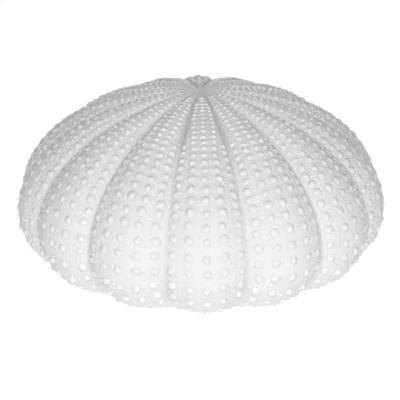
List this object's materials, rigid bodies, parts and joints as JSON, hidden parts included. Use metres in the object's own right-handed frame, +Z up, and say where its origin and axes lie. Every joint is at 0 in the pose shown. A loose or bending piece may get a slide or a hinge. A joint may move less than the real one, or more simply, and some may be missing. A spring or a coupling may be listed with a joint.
{
  "type": "sea urchin shell",
  "caption": "Domed hollow sea urchin shell with rounded lobes, furrows meeting at a closed top, columns of small bosses and a round mouth underneath.",
  "frame": {"origin": "middle of the flat ring that the shell rests on, in the plane it rests on", "axes": "+Z up along the shell's own axis, through the apex; -Y through the middle of one lobe, the side towards the viewer"},
  "size_m": [0.1, 0.1014, 0.0483],
  "materials": {
    "shell": "matte, chalky, bleached white calcite"
  },
  "bodies": {
    "root": {"shell": "shell"}
  },
  "joints": []
}
